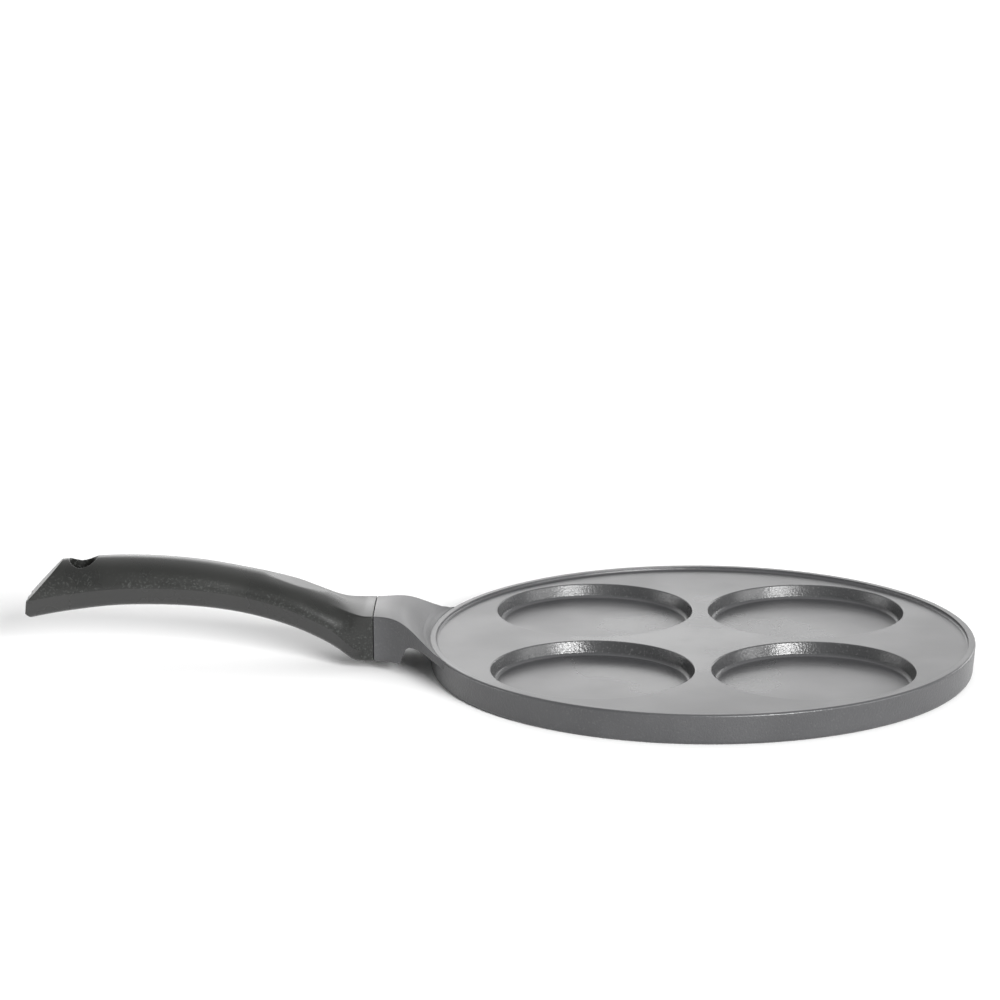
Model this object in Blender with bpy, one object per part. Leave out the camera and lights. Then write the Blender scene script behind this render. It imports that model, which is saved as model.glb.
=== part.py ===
"""Pancake pan: a cast aluminium disc with four round wells, a cast neck and a
moulded handle that is held on the neck's tang by one screw from below.

Metres. The origin is the centre of the flat base, +Z is up, and the handle
points along -X.
"""

import math

import bmesh
import bpy
from mathutils import Vector

# Clearances between pieces that touch
FIT_GAP = 0.0003

# Cast disc
RIM_RADIUS = 0.1300
BODY_HEIGHT = 0.0145
WALL_DRAFT = 0.0010
BASE_CORNER = 0.0020
RIM_WIDTH = 0.0034
RIM_DROP = 0.0018
RIM_EDGE_RADIUS = 0.0011
RIM_FOOT_RADIUS = 0.0010

# Wells
WELL_COUNT = 4
WELL_START_ANGLE = math.radians(45)
WELL_RIM_MARGIN = 0.0051
WELL_SPACING = 0.0072
WELL_DEPTH = 0.0066
WELL_DRAFT = 0.0014
WELL_FILLET = 0.0022
WELL_EDGE_RADIUS = 0.0005

# Perforated steel plate pressed into the base, and the studs that rivet it
PLATE_RADIUS = 0.1000
PLATE_THICKNESS = 0.0008
PLATE_HOLE_RADIUS = 0.0030
PLATE_HOLE_RINGS = ((0.045, 8), (0.066, 12), (0.087, 16))

# Neck, from the joint with the handle to the rim
NECK_LENGTH = 0.0255
NECK_WIDTH = 0.0380
NECK_FLARE = 0.0310
NECK_BOTTOM = 0.0056
NECK_HEIGHT = 0.0225
NECK_CROWN = 0.0012
NECK_EDGE = 0.0008
NECK_DRAFT = 0.0012
NECK_RIM_OVERLAP = 0.0017
NECK_RIM_STEP = 0.0002
NECK_ROOT_DEPTH = 0.0006

# Opening under the neck, between its heel and the disc: share of the way from
# the heel to the rim, height above the heel
HEEL_LENGTH = 0.0110
UNDER_LINE = ((0.0, 0.0), (0.07, 0.0022), (0.20, 0.0084), (0.36, 0.0099),
              (0.62, 0.0088), (0.80, 0.0066), (1.0, 0.0038))

# Tang inside the handle
TANG_LENGTH = 0.0400
TANG_ROOT_WIDTH = 0.0240
TANG_TIP_WIDTH = 0.0160
TANG_ROOT_HEIGHT = 0.0110
TANG_TIP_HEIGHT = 0.0080
TANG_ROOT_COVER = 0.0030
TANG_CORNER = 0.0010
TANG_ANCHOR = 0.0040
SOCKET_END_GAP = 0.0010

# Handle
HANDLE_LENGTH = 0.1668
GRIP_HALF_WIDTH = 0.0134
GRIP_BOTTOM_HALF_WIDTH = 0.0085
GRIP_FOOT_BEVEL = 0.0020
GRIP_CREASE_ANGLE = 12
GRIP_SHOULDER_ANGLE = 50
NARROWING_LENGTH = 0.0700
TAIL_LENGTH = 0.0434
END_HALF_WIDTH = 0.0098
END_CUT_RUN = 0.0188
END_CUT_DROP = 0.0209
END_TIP_RISE = 0.0084
END_TIP_CHAMFER = 0.0030

# Lines along the handle, as share of its length and height above the neck's
# crown or above the heel
TOP_LINE = ((0.0, 0.0), (0.03, 0.0002), (0.06, 0.0014), (0.085, 0.0028), (0.11, 0.0045),
            (0.17, 0.0085), (0.23, 0.0123), (0.36, 0.0173), (0.52, 0.0218), (0.69, 0.0234),
            (0.84, 0.0223), (1.0, 0.0189))
BOTTOM_LINE = ((0.0, 0.0), (0.05, 0.0), (0.065, 0.0006), (0.10, 0.0040), (0.16, 0.0093),
               (0.24, 0.0148), (0.36, 0.0202), (0.48, 0.0233), (0.61, 0.0245),
               (0.75, 0.0239), (0.88, 0.0208), (1.0, 0.0167))
BEVEL_HEIGHT = 0.0097
SHAPE_CHANGE_START = 0.002
SHAPE_CHANGE_END = 0.022

# Thumb rest cut on the handle's top
THUMB_START = 0.0225
THUMB_LENGTH = 0.0305
THUMB_RUN_OUT = 0.0020

# Hanging hole
HANG_HOLE_FROM_END = 0.0280
HANG_HOLE_LENGTH = 0.0144
HANG_HOLE_WIDTH = 0.0164
HANG_HOLE_FOOT_LENGTH = 0.0110
HANG_HOLE_FOOT_WIDTH = 0.0120
HANG_HOLE_CHAMFER = 0.0005

# Screw and washers under the handle
SCREW_FROM_JOINT = 0.0066
SCREW_RADIUS = 0.0025
SCREW_LENGTH = 0.0160
SCREW_HEAD_RADIUS = 0.0040
SCREW_HEAD_HEIGHT = 0.0030
SCREW_EDGE = 0.0003
SCREW_KEY_RADIUS = 0.0023
SCREW_KEY_DEPTH = 0.0017
SCREW_KEY_SIDES = 6
SCREW_END_GAP = 0.0006
SCREW_SEAT_WALL = 0.0036
WASHER_RADIUS = 0.0040
WASHER_THICKNESS = 0.0008
LOCK_WASHER_RADIUS = 0.0038
LOCK_WASHER_THICKNESS = 0.0012
LOCK_WASHER_SPLIT = 0.0010
HEAD_CLEARANCE = 0.0004

# Smoothness of the round stretches
RIM_STEPS = 96
WELL_STEPS = 56
HOLE_STEPS = 8
SCREW_STEPS = 20
HANDLE_STATIONS = 30
HEEL_STATIONS = 4
ARCH_STATIONS = 14
CROWN_STEPS = 5
SIDE_STEPS = 3
EDGE_STEPS = 3
FOOT_STEPS = 2
FILLET_STEPS = 4
SLOT_END_STEPS = 8

# Places worked out from the sizes above
FLOOR_Z = BODY_HEIGHT - RIM_DROP
INNER_RADIUS = RIM_RADIUS - RIM_WIDTH - RIM_FOOT_RADIUS
SPREAD = 2 * math.sin(math.pi / WELL_COUNT)
WELL_RADIUS = (SPREAD * (INNER_RADIUS - WELL_RIM_MARGIN) - WELL_SPACING) / (2 + SPREAD)
WELL_ORBIT = INNER_RADIUS - WELL_RIM_MARGIN - WELL_RADIUS
JOINT_X = -RIM_RADIUS - NECK_LENGTH
HANDLE_X = JOINT_X - FIT_GAP
NECK_HALF = NECK_WIDTH / 2
NECK_TOP = NECK_BOTTOM + NECK_HEIGHT
NECK_END_RADIUS = RIM_RADIUS - NECK_RIM_OVERLAP
HEEL_SHARE = HEEL_LENGTH / (-JOINT_X - NECK_END_RADIUS)
SCREW_X = HANDLE_X - SCREW_FROM_JOINT


def tidy(obj, colour, roughness, metallic, smooth_angle=35):
    """Give an object its material and smooth its round faces."""
    material = bpy.data.materials.new(obj.name + "_finish")
    material.use_nodes = True
    shader = material.node_tree.nodes["Principled BSDF"]
    shader.inputs["Base Color"].default_value = (*colour, 1.0)
    shader.inputs["Roughness"].default_value = roughness
    shader.inputs["Metallic"].default_value = metallic
    material.diffuse_color = (*colour, 1.0)
    obj.data.materials.append(material)
    obj.data.shade_smooth()
    obj.data.set_sharp_from_angle(angle=math.radians(smooth_angle))
    return obj


def new_object(name, bm):
    """Put a finished bmesh into the scene with all its faces pointing out."""
    bmesh.ops.recalc_face_normals(bm, faces=bm.faces)
    mesh = bpy.data.meshes.new(name)
    bm.to_mesh(mesh)
    bm.free()
    obj = bpy.data.objects.new(name, mesh)
    bpy.context.scene.collection.objects.link(obj)
    return obj


def lofted(name, sections, closed=False):
    """Skin closed sections of equal point count; cap both ends or close the loop."""
    bm = bmesh.new()
    rings = [[bm.verts.new(point) for point in section] for section in sections]
    count = len(rings[0])
    if closed:
        rings.append(rings[0])
    for near, far in zip(rings, rings[1:]):
        for i in range(count):
            j = (i + 1) % count
            bm.faces.new((near[i], near[j], far[j], far[i]))
    if not closed:
        bm.faces.new(rings[0])
        bm.faces.new(rings[-1])
    return new_object(name, bm)


def turned(name, outline, steps):
    """Turn an (r, z) outline that starts and ends on the Z axis."""
    bm = bmesh.new()
    bottom = bm.verts.new((0, 0, outline[0][1]))
    top = bm.verts.new((0, 0, outline[-1][1]))
    rings = []
    for radius, z in outline[1:-1]:
        ring = []
        for i in range(steps):
            angle = 2 * math.pi * i / steps
            ring.append(bm.verts.new((radius * math.cos(angle), radius * math.sin(angle), z)))
        rings.append(ring)
    for i in range(steps):
        j = (i + 1) % steps
        bm.faces.new((bottom, rings[0][j], rings[0][i]))
        bm.faces.new((top, rings[-1][i], rings[-1][j]))
        for low, high in zip(rings, rings[1:]):
            bm.faces.new((low[i], low[j], high[j], high[i]))
    return new_object(name, bm)


def extruded(name, outline, start, end, axis):
    """Extrude an outline along Y (outline in X, Z) or along Z (outline in X, Y)."""
    if axis == "Y":
        ends = [[Vector((u, depth, v)) for u, v in outline] for depth in (start, end)]
    else:
        ends = [[Vector((u, v, depth)) for u, v in outline] for depth in (start, end)]
    return lofted(name, ends)


def arc(centre_u, centre_v, radius, start, end, steps):
    """Points along an arc, angles in degrees."""
    points = []
    for i in range(steps + 1):
        angle = math.radians(start + (end - start) * i / steps)
        points.append((centre_u + radius * math.cos(angle), centre_v + radius * math.sin(angle)))
    return points


def smooth_step(value):
    """Ease from 0 to 1 with level ends."""
    value = min(max(value, 0.0), 1.0)
    return value * value * (3 - 2 * value)


def mix(a, b, share):
    """Value between a and b."""
    return a + (b - a) * share


def line_height(line, share):
    """Height of a smooth curve through the points of a line."""
    share = min(max(share, line[0][0]), line[-1][0])
    index = 0
    while index < len(line) - 2 and share > line[index + 1][0]:
        index += 1

    def slope(i):
        low = max(i - 1, 0)
        high = min(i + 1, len(line) - 1)
        return (line[high][1] - line[low][1]) / (line[high][0] - line[low][0])

    (x0, z0), (x1, z1) = line[index], line[index + 1]
    width = x1 - x0
    t = (share - x0) / width
    return ((2 * t ** 3 - 3 * t ** 2 + 1) * z0 + (t ** 3 - 2 * t ** 2 + t) * width * slope(index)
            + (3 * t ** 2 - 2 * t ** 3) * z1 + (t ** 3 - t ** 2) * width * slope(index + 1))


def cut(obj, cutter):
    """Cut a shape out of an object and leave the cutter as a guide."""
    boolean(obj, cutter, "DIFFERENCE")


def join(obj, other):
    """Unite an object with a shape that stays behind as a guide."""
    boolean(obj, other, "UNION")


def boolean(obj, other, operation):
    """Add an exact Boolean and hide the shape that it uses."""
    modifier = obj.modifiers.new(other.name, "BOOLEAN")
    modifier.operation = operation
    modifier.solver = "EXACT"
    modifier.object = other
    other.hide_render = True
    other.display_type = "WIRE"


def handle_top(x):
    """Height of the handle's crown at x."""
    return NECK_TOP + NECK_CROWN + line_height(TOP_LINE, (HANDLE_X - x) / HANDLE_LENGTH)


def handle_bottom(x):
    """Height of the handle's underside at x."""
    return NECK_BOTTOM + line_height(BOTTOM_LINE, (HANDLE_X - x) / HANDLE_LENGTH)


def handle_tail(distance):
    """How far the handle has drawn in towards its end, by distance from the joint."""
    return smooth_step((distance - HANDLE_LENGTH + TAIL_LENGTH) / TAIL_LENGTH)


def mirrored(half, x_of):
    """Close a half section of (y, z) points into a ring, from the bottom centre up."""
    ring = [Vector((x_of(y), y, z)) for y, z in half]
    ring += [Vector((x_of(y), -y, z)) for y, z in reversed(half) if y > 0]
    return ring


def block_half_section(half_width, bottom, edge_z, crown, draft):
    """Half section of the neck: drafted sides, crisp top edges and a low crown."""
    foot = half_width - draft
    corner = NECK_EDGE + draft
    half = [(0, bottom), (foot - corner, bottom), (foot, bottom + corner),
            (half_width, edge_z - NECK_EDGE)]
    flat = half_width - NECK_EDGE
    for i in range(CROWN_STEPS + 1):
        y = flat * (1 - i / CROWN_STEPS)
        half.append((y, edge_z + crown * (1 - (y / flat) ** 2)))
    return half


def sided_half_section(block):
    """Half section of the neck with extra points up its side, to match the grip's."""
    (y0, z0), (y1, z1) = block[2], block[3]
    side = []
    for i in range(1, SIDE_STEPS + 1):
        share = i / (SIDE_STEPS + 1)
        side.append((mix(y0, y1, share), mix(z0, z1, share)))
    return block[:3] + side + block[3:]


def grip_half_section(half_width, bottom_half_width, bottom, top):
    """Half section of the grip: flat underside, lower bevel and an elliptical top."""
    crease = bottom + BEVEL_HEIGHT
    foot_out = mix(bottom_half_width, half_width, GRIP_FOOT_BEVEL / BEVEL_HEIGHT)
    half = [(0, bottom), (bottom_half_width - GRIP_FOOT_BEVEL, bottom),
            (foot_out, bottom + GRIP_FOOT_BEVEL), (half_width, crease)]
    angles = [mix(GRIP_CREASE_ANGLE, GRIP_SHOULDER_ANGLE, i / (SIDE_STEPS - 1))
              for i in range(SIDE_STEPS)]
    angles += [mix(GRIP_SHOULDER_ANGLE, 90, (i + 1) / (CROWN_STEPS + 1))
               for i in range(CROWN_STEPS + 1)]
    for angle in angles:
        y = half_width * math.cos(math.radians(angle)) if angle < 90 else 0
        half.append((y, crease + (top - crease) * math.sin(math.radians(angle))))
    return half


def neck_shares():
    """Stations along the neck: few over the heel, more over the arch."""
    heel = [HEEL_SHARE * i / HEEL_STATIONS for i in range(HEEL_STATIONS)]
    arch = [mix(HEEL_SHARE, 1, i / ARCH_STATIONS) for i in range(ARCH_STATIONS + 1)]
    return heel + arch


def make_neck():
    """Neck that flares from the handle joint into the rim, arched under its root."""
    sections = []
    for share in neck_shares():
        flare = share * share
        half_width = NECK_HALF + NECK_FLARE * flare
        edge_z = mix(NECK_TOP, BODY_HEIGHT - NECK_RIM_STEP, smooth_step(flare))
        bottom = NECK_BOTTOM + line_height(UNDER_LINE, (share - HEEL_SHARE) / (1 - HEEL_SHARE))
        half = block_half_section(half_width, bottom, edge_z, NECK_CROWN * (1 - flare),
                                  NECK_DRAFT * (1 - flare))

        def x_of(y, share=share):
            return mix(JOINT_X, -math.sqrt(NECK_END_RADIUS ** 2 - y ** 2), share)

        sections.append(mirrored(half, x_of))
    root_radius = NECK_END_RADIUS - NECK_ROOT_DEPTH
    root = block_half_section(half_width, bottom, FLOOR_Z - NECK_RIM_STEP, 0, 0)
    sections.append(mirrored(root, lambda y: -math.sqrt(root_radius ** 2 - y ** 2)))
    return lofted("neck_form", sections)


def tang_section(x, share, grow):
    """Section of the tang, or of its socket when grow is its clearance."""
    half_width = mix(TANG_ROOT_WIDTH, TANG_TIP_WIDTH, share) / 2 + grow
    half_height = mix(TANG_ROOT_HEIGHT, TANG_TIP_HEIGHT, share) / 2 + grow
    middle = tang_middle(share)
    corner = TANG_CORNER
    half = [(0, middle - half_height), (half_width - corner, middle - half_height),
            (half_width, middle - half_height + corner),
            (half_width, middle + half_height - corner),
            (half_width - corner, middle + half_height), (0, middle + half_height)]
    return mirrored(half, lambda y: x)


def tang_middle(share):
    """Height of the tang's centre line, straight from its root to its tip."""
    root = NECK_TOP - TANG_ROOT_COVER - TANG_ROOT_HEIGHT / 2
    tip_x = HANDLE_X - TANG_LENGTH
    tip = (handle_top(tip_x) + handle_bottom(tip_x)) / 2
    return mix(root, tip, share)


def tang_share(x):
    """How far along the tang x is, from its root to its tip."""
    return (HANDLE_X - x) / TANG_LENGTH


def make_tang():
    """Tapered bar that carries the handle."""
    places = (JOINT_X + TANG_ANCHOR, HANDLE_X - TANG_LENGTH)
    return lofted("tang_form", [tang_section(x, tang_share(x), 0) for x in places])


def make_socket():
    """Space for the tang inside the handle."""
    slope = (tang_middle(1) - tang_middle(0)) / TANG_LENGTH
    gap = FIT_GAP * math.sqrt(1 + slope * slope)
    places = (JOINT_X + TANG_ANCHOR, HANDLE_X - TANG_LENGTH - SOCKET_END_GAP)
    return lofted("socket_cutter", [tang_section(x, tang_share(x), gap) for x in places])


def disc_outline():
    """Outline of the cast disc from the recess in its base up to its floor."""
    recess_depth = PLATE_THICKNESS + FIT_GAP
    recess_radius = PLATE_RADIUS + FIT_GAP
    base_radius = RIM_RADIUS - WALL_DRAFT
    inner_top = RIM_RADIUS - RIM_WIDTH
    edge = RIM_EDGE_RADIUS
    outline = [(0, recess_depth), (recess_radius, recess_depth), (recess_radius, 0)]
    outline += arc(base_radius - BASE_CORNER, BASE_CORNER, BASE_CORNER, -90, 0, EDGE_STEPS)
    outline += arc(RIM_RADIUS - edge, BODY_HEIGHT - edge, edge, 0, 90, EDGE_STEPS)
    outline += [(inner_top, BODY_HEIGHT)]
    outline += arc(INNER_RADIUS, FLOOR_Z + RIM_FOOT_RADIUS, RIM_FOOT_RADIUS, 0, -90, FOOT_STEPS)
    outline += [(0, FLOOR_Z)]
    return outline


def well_outline():
    """Outline of a well's cutter, from its floor to above the disc."""
    floor = FLOOR_Z - WELL_DEPTH
    foot = WELL_RADIUS - WELL_DRAFT
    edge = WELL_EDGE_RADIUS
    outline = [(0, floor)]
    outline += arc(foot - WELL_FILLET, floor + WELL_FILLET, WELL_FILLET, -90, 0, FILLET_STEPS)
    outline += [(WELL_RADIUS - edge, FLOOR_Z - edge), (WELL_RADIUS, FLOOR_Z),
                (WELL_RADIUS, BODY_HEIGHT), (0, BODY_HEIGHT)]
    return outline


def ring_places():
    """Centres of the holes in the steel plate."""
    places = []
    for row, (radius, count) in enumerate(PLATE_HOLE_RINGS):
        for i in range(count):
            angle = 2 * math.pi * (i + row / 2) / count
            places.append((radius * math.cos(angle), radius * math.sin(angle)))
    return places


def pegs(name, radius, low, high):
    """Round pegs at every hole of the steel plate."""
    bm = bmesh.new()
    for x, y in ring_places():
        rings = []
        for z in (low, high):
            ring = []
            for i in range(HOLE_STEPS):
                angle = 2 * math.pi * (i + 0.5) / HOLE_STEPS
                ring.append(bm.verts.new((x + radius * math.cos(angle),
                                          y + radius * math.sin(angle), z)))
            rings.append(ring)
        for i in range(HOLE_STEPS):
            j = (i + 1) % HOLE_STEPS
            bm.faces.new((rings[0][i], rings[0][j], rings[1][j], rings[1][i]))
        bm.faces.new(rings[0])
        bm.faces.new(rings[1])
    return new_object(name, bm)


def make_pan_body():
    """Disc, wells, neck and tang in one casting."""
    body = turned("pan_body", disc_outline(), RIM_STEPS)
    join(body, make_neck())
    join(body, make_tang())
    for i in range(WELL_COUNT):
        angle = WELL_START_ANGLE + 2 * math.pi * i / WELL_COUNT
        well = turned("well_cutter_%d" % (i + 1), well_outline(), WELL_STEPS)
        well.location = (WELL_ORBIT * math.cos(angle), WELL_ORBIT * math.sin(angle), 0)
        cut(body, well)
    root = PLATE_THICKNESS + 2 * FIT_GAP
    join(body, pegs("stud_form", PLATE_HOLE_RADIUS - FIT_GAP, 0, root))
    thread = turned("thread_cutter", rod_outline(SCREW_RADIUS + FIT_GAP, screw_seat_z(),
                                                 screw_tip_z() + SCREW_END_GAP), SCREW_STEPS)
    thread.location.x = SCREW_X
    cut(body, thread)
    return tidy(body, (0.36, 0.36, 0.37), 0.38, 0.55)


def make_plate():
    """Perforated steel plate, flush with the base."""
    outline = [(0, 0), (PLATE_RADIUS, 0), (PLATE_RADIUS, PLATE_THICKNESS), (0, PLATE_THICKNESS)]
    plate = turned("induction_plate", outline, RIM_STEPS)
    cut(plate, pegs("plate_hole_cutter", PLATE_HOLE_RADIUS, -PLATE_THICKNESS,
                    2 * PLATE_THICKNESS))
    return tidy(plate, (0.62, 0.62, 0.61), 0.30, 1.0)


def handle_half_width(x):
    """Half width of the handle in plan, from the joint to its end."""
    distance = HANDLE_X - x
    grip = mix(NECK_HALF, GRIP_HALF_WIDTH, smooth_step(distance / NARROWING_LENGTH))
    return mix(grip, END_HALF_WIDTH, handle_tail(distance))


def handle_section(x):
    """Section of the handle, which turns from the neck's block into the round grip."""
    distance = HANDLE_X - x
    change = smooth_step((distance - SHAPE_CHANGE_START)
                         / (SHAPE_CHANGE_END - SHAPE_CHANGE_START))
    half_width = handle_half_width(x)
    top = handle_top(x)
    bottom = handle_bottom(x)
    edge_z = max(top - NECK_CROWN, NECK_TOP)
    block = sided_half_section(block_half_section(half_width, bottom, edge_z, top - edge_z,
                                                  NECK_DRAFT))
    bottom_half = GRIP_BOTTOM_HALF_WIDTH * half_width / GRIP_HALF_WIDTH
    grip = grip_half_section(half_width, bottom_half, bottom, top)
    half = [(mix(b[0], g[0], change), mix(b[1], g[1], change)) for b, g in zip(block, grip)]
    return mirrored(half, lambda y: x)


def make_handle():
    """Moulded handle with a thumb rest, a hanging hole and a socket for the tang."""
    end_x = HANDLE_X - HANDLE_LENGTH
    sections = []
    for i in range(HANDLE_STATIONS + 1):
        sections.append(handle_section(mix(HANDLE_X, end_x, i / HANDLE_STATIONS)))
    handle = lofted("handle", sections)

    cut(handle, make_socket())
    cut(handle, make_end_cutter(end_x))
    cut(handle, make_thumb_cutter())
    cut(handle, make_hang_hole_cutter(end_x))
    shaft = rod_outline(SCREW_RADIUS + FIT_GAP, NECK_BOTTOM - FIT_GAP, screw_tip_z())
    pocket = rod_outline(SCREW_HEAD_RADIUS + HEAD_CLEARANCE, -NECK_BOTTOM, screw_seat_z())
    for name, outline in (("screw_hole_cutter", shaft), ("screw_pocket_cutter", pocket)):
        cutter = turned(name, outline, SCREW_STEPS)
        cutter.location.x = SCREW_X
        cut(handle, cutter)
    return tidy(handle, (0.045, 0.045, 0.043), 0.42, 0.0, 28)


def make_end_cutter(end_x):
    """Slanted end face and the bevel under the tip."""
    reach = HANDLE_LENGTH
    tip = end_x - FIT_GAP
    slope = END_CUT_DROP / END_CUT_RUN
    high_x = end_x + reach / slope
    under = handle_bottom(end_x)
    tip_top = under + END_TIP_RISE
    outline = [(tip, tip_top + slope * (tip - end_x)), (high_x, tip_top + reach),
               (tip - reach, tip_top + reach), (tip - reach, under - reach),
               (end_x + END_TIP_CHAMFER + reach, under - reach),
               (end_x + END_TIP_CHAMFER, under), (end_x, under + END_TIP_CHAMFER),
               (tip, under + END_TIP_CHAMFER)]
    return extruded("end_cutter", outline, -NECK_WIDTH, NECK_WIDTH, "Y")


def make_thumb_cutter():
    """Flat sloping cut across the crown, which runs out at both tips."""
    near = HANDLE_X - THUMB_START
    far = near - THUMB_LENGTH
    slope = (handle_top(far) - handle_top(near)) / THUMB_LENGTH
    low = handle_top(near) - slope * THUMB_RUN_OUT
    high = handle_top(far) + slope * THUMB_RUN_OUT
    above = high + THUMB_LENGTH
    outline = [(near + THUMB_RUN_OUT, low), (near + THUMB_RUN_OUT, above),
               (far - THUMB_RUN_OUT, above), (far - THUMB_RUN_OUT, high)]
    return extruded("thumb_rest_cutter", outline, -NECK_WIDTH, NECK_WIDTH, "Y")


def slot_outline(centre_x, half_length, half_width):
    """Slot across the handle with round ends in X, Y."""
    run = half_width - half_length
    return (arc(centre_x, run, half_length, 0, 180, SLOT_END_STEPS)
            + arc(centre_x, -run, half_length, 180, 360, SLOT_END_STEPS))


def make_hang_hole_cutter(end_x):
    """Tapered slot through the end of the handle, bevelled at its wide upper mouth."""
    centre = end_x + HANG_HOLE_FROM_END
    top = handle_top(centre)
    mouth = HANG_HOLE_CHAMFER
    foot = (HANG_HOLE_FOOT_LENGTH, HANG_HOLE_FOOT_WIDTH)
    low = (HANG_HOLE_LENGTH - 2 * mouth, HANG_HOLE_WIDTH - 2 * mouth)
    high = (HANG_HOLE_LENGTH + 2 * mouth, HANG_HOLE_WIDTH + 2 * mouth)
    levels = ((0, foot), (handle_bottom(centre), foot), (top - 2 * mouth, low),
              (top + 2 * mouth, high))
    sections = []
    for z, (length, width) in levels:
        outline = slot_outline(centre, length / 2, width / 2)
        sections.append([Vector((x, y, z)) for x, y in outline])
    return lofted("hang_hole_cutter", sections)


def rod_outline(radius, low, high):
    """Outline of a plain rod."""
    return [(0, low), (radius, low), (radius, high), (0, high)]


def screw_seat_z():
    """Height of the flat seat that the washers press on."""
    share = tang_share(SCREW_X)
    half_height = mix(TANG_ROOT_HEIGHT, TANG_TIP_HEIGHT, share) / 2
    return tang_middle(share) - half_height - SCREW_SEAT_WALL


def screw_head_top_z():
    """Height of the face under the screw's head."""
    return screw_seat_z() - 3 * FIT_GAP - WASHER_THICKNESS - LOCK_WASHER_THICKNESS


def screw_tip_z():
    """Height of the screw's tip inside the tang."""
    return screw_head_top_z() + SCREW_LENGTH


def make_screw():
    """Machine screw with a socket head, from below."""
    head_top = screw_head_top_z()
    head_bottom = head_top - SCREW_HEAD_HEIGHT
    edge = SCREW_EDGE
    tip = screw_tip_z()
    outline = [(0, head_bottom), (SCREW_HEAD_RADIUS - edge, head_bottom),
               (SCREW_HEAD_RADIUS, head_bottom + edge), (SCREW_HEAD_RADIUS, head_top),
               (SCREW_RADIUS, head_top), (SCREW_RADIUS, tip - edge),
               (SCREW_RADIUS - edge, tip), (0, tip)]
    screw = turned("handle_screw", outline, SCREW_STEPS)
    screw.location.x = SCREW_X
    corners = SCREW_KEY_SIDES
    hexagon = arc(0, 0, SCREW_KEY_RADIUS, 0, 360 * (corners - 1) / corners, corners - 1)
    key = extruded("key_cutter", hexagon, head_bottom - SCREW_KEY_DEPTH,
                   head_bottom + SCREW_KEY_DEPTH, "Z")
    key.location.x = SCREW_X
    cut(screw, key)
    return tidy(screw, (0.60, 0.60, 0.60), 0.28, 1.0)


def make_ring(name, radius, thickness, low, gap_angle):
    """Flat ring around the screw, open over a gap angle if it is split."""
    inner = SCREW_RADIUS + FIT_GAP
    high = low + thickness
    count = SCREW_STEPS + 1 if gap_angle else SCREW_STEPS
    sections = []
    for i in range(count):
        angle = gap_angle / 2 + (2 * math.pi - gap_angle) * i / SCREW_STEPS
        outward = Vector((math.cos(angle), math.sin(angle), 0))
        corners = ((inner, low), (radius, low), (radius, high), (inner, high))
        sections.append([outward * r + Vector((SCREW_X, 0, z)) for r, z in corners])
    return lofted(name, sections, closed=not gap_angle)


def make_washers():
    """Flat washer at the seat and split lock washer under the screw's head."""
    lock_low = screw_head_top_z() + FIT_GAP
    flat_low = lock_low + LOCK_WASHER_THICKNESS + FIT_GAP
    flat = make_ring("flat_washer", WASHER_RADIUS, WASHER_THICKNESS, flat_low, 0)
    tidy(flat, (0.60, 0.60, 0.60), 0.32, 1.0)
    split = 2 * math.asin(LOCK_WASHER_SPLIT / (2 * LOCK_WASHER_RADIUS))
    lock = make_ring("lock_washer", LOCK_WASHER_RADIUS, LOCK_WASHER_THICKNESS, lock_low, split)
    tidy(lock, (0.45, 0.45, 0.45), 0.35, 1.0)


def build():
    """Clear the scene and model every piece."""
    for obj in list(bpy.data.objects):
        bpy.data.objects.remove(obj)
    make_pan_body()
    make_plate()
    make_handle()
    make_screw()
    make_washers()


build()
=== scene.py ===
import math

import bmesh
import bpy
import numpy as np
from mathutils import Matrix, Vector


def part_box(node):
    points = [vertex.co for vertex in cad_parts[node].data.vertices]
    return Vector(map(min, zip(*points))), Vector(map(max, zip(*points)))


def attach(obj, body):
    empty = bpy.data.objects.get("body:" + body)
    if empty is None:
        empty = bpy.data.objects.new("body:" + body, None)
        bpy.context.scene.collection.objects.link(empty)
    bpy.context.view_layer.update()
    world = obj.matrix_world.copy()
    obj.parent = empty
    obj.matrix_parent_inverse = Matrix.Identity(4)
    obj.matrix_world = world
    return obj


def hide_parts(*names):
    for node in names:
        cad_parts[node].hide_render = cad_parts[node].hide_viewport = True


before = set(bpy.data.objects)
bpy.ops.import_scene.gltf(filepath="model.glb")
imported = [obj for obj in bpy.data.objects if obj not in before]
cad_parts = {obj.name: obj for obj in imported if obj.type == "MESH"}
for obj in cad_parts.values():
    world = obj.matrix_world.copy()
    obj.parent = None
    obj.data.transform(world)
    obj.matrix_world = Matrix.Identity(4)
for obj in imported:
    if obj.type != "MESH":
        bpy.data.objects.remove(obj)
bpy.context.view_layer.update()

# Sizes read from the frame
RIM_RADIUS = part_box("pan_body")[1].x
PLATE_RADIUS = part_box("induction_plate")[1].x
PLATE_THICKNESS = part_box("induction_plate")[1].z
HANDLE_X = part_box("handle")[1].x
HANDLE_END_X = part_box("handle")[0].x
HANDLE_LENGTH = HANDLE_X - HANDLE_END_X
SCREW_X = (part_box("handle_screw")[0].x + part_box("handle_screw")[1].x) / 2
SCREW_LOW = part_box("handle_screw")[0].z
SCREW_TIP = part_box("handle_screw")[1].z
FLAT_WASHER_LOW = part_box("flat_washer")[0].z
FLAT_WASHER_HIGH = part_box("flat_washer")[1].z
LOCK_WASHER_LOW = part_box("lock_washer")[0].z
LOCK_WASHER_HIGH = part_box("lock_washer")[1].z

# Clearance between pieces that touch
FIT_GAP = 0.0003

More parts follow.
